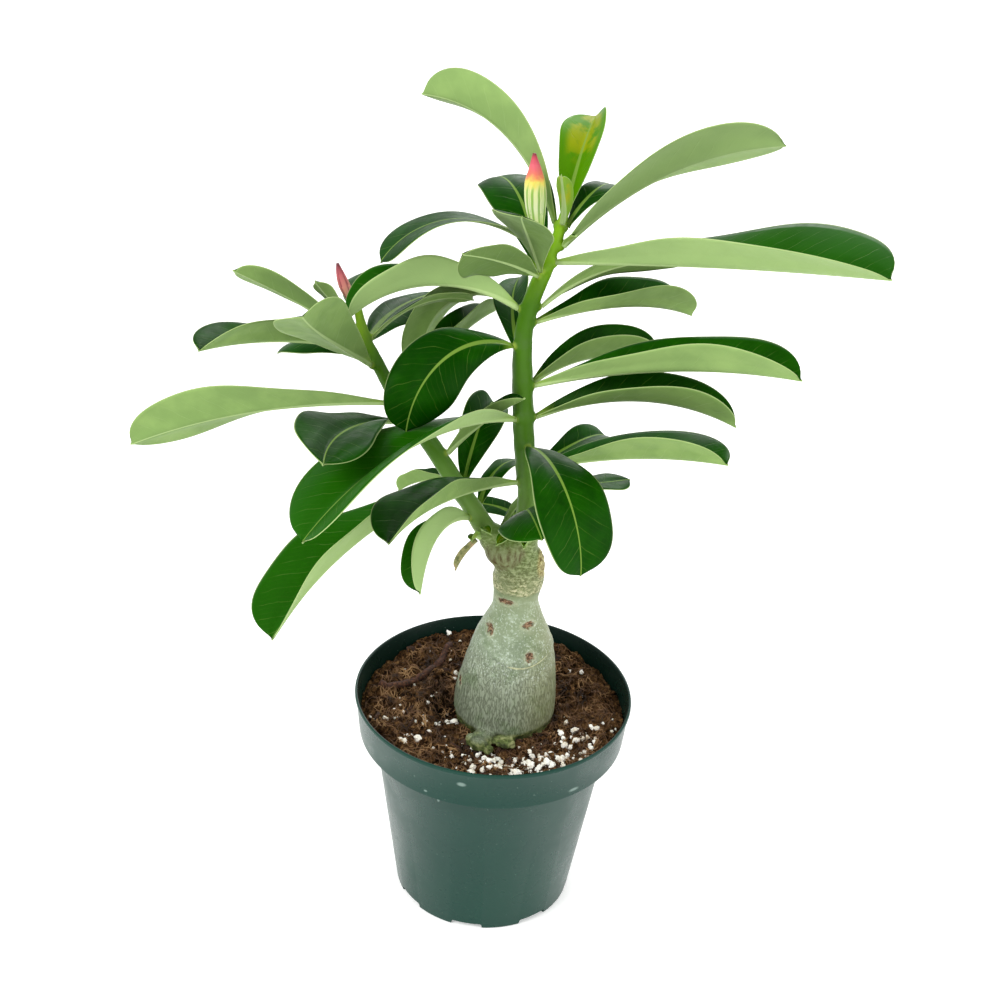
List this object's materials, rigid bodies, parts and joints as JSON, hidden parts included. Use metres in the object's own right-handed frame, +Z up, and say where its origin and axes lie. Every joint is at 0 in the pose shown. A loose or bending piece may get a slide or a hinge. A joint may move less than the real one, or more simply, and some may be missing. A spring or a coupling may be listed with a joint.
{
  "type": "potted desert rose",
  "caption": "Desert rose (adenium) in a green nursery pot: a swollen caudex on potting mix, two leaning stems, arching folded leaves and closed red flower buds.",
  "frame": {"origin": "centre of the pot's flat foot disc, on the surface it stands on", "axes": "+Z up along the pot's axis, +X to the right and -Y to the front as the plant is usually seen"},
  "size_m": [0.2545, 0.1485, 0.3442],
  "materials": {
    "pot_plastic": "satin injection-moulded polypropylene, dark green",
    "potting_mix": null,
    "dry_root": "dry woody root",
    "caudex_skin": "grey-green plant skin with fine fissures and brown scars",
    "stem_skin": "smooth green plant skin with leaf scars",
    "leaf_blade": null,
    "bud_petals": "closed petals, red to yellow-green"
  },
  "bodies": {
    "root": {"pot": "pot_plastic", "soil": "potting_mix", "root_strip": "dry_root", "caudex": "caudex_skin", "stem_main": "stem_skin", "stem_left": "stem_skin", "leaf_left_01": "leaf_blade", "leaf_left_02": "leaf_blade", "leaf_left_03": "leaf_blade", "leaf_left_04": "leaf_blade", "leaf_left_05": "leaf_blade", "leaf_left_06": "leaf_blade", "leaf_left_07": "leaf_blade", "leaf_left_08": "leaf_blade", "leaf_left_09": "leaf_blade", "leaf_left_10": "leaf_blade", "leaf_left_11": "leaf_blade", "leaf_left_12": "leaf_blade", "leaf_left_13": "leaf_blade", "leaf_left_14": "leaf_blade", "leaf_left_15": "leaf_blade", "leaf_left_16": "leaf_blade", "leaf_left_17": "leaf_blade", "leaf_left_18": "leaf_blade", "leaf_main_01": "leaf_blade", "leaf_main_02": "leaf_blade", "leaf_main_03": "leaf_blade", "leaf_main_04": "leaf_blade", "leaf_main_05": "leaf_blade", "leaf_main_06": "leaf_blade", "leaf_main_07": "leaf_blade", "leaf_main_08": "leaf_blade", "leaf_main_09": "leaf_blade", "leaf_main_10": "leaf_blade", "leaf_main_11": "leaf_blade", "leaf_main_12": "leaf_blade", "leaf_main_13": "leaf_blade", "leaf_main_14": "leaf_blade", "leaf_main_15": "leaf_blade", "leaf_main_16": "leaf_blade", "leaf_main_17": "leaf_blade", "leaf_main_18": "leaf_blade", "leaf_main_19": "leaf_blade", "leaf_main_20": "leaf_blade", "leaf_main_21": "leaf_blade", "leaf_main_22": "leaf_blade", "leaf_main_23": "leaf_blade", "leaf_main_24": "leaf_blade", "leaf_main_25": "leaf_blade", "leaf_main_26": "leaf_blade", "leaf_main_27": "leaf_blade", "bud_main": "bud_petals", "bud_left": "bud_petals"}
  },
  "joints": []
}
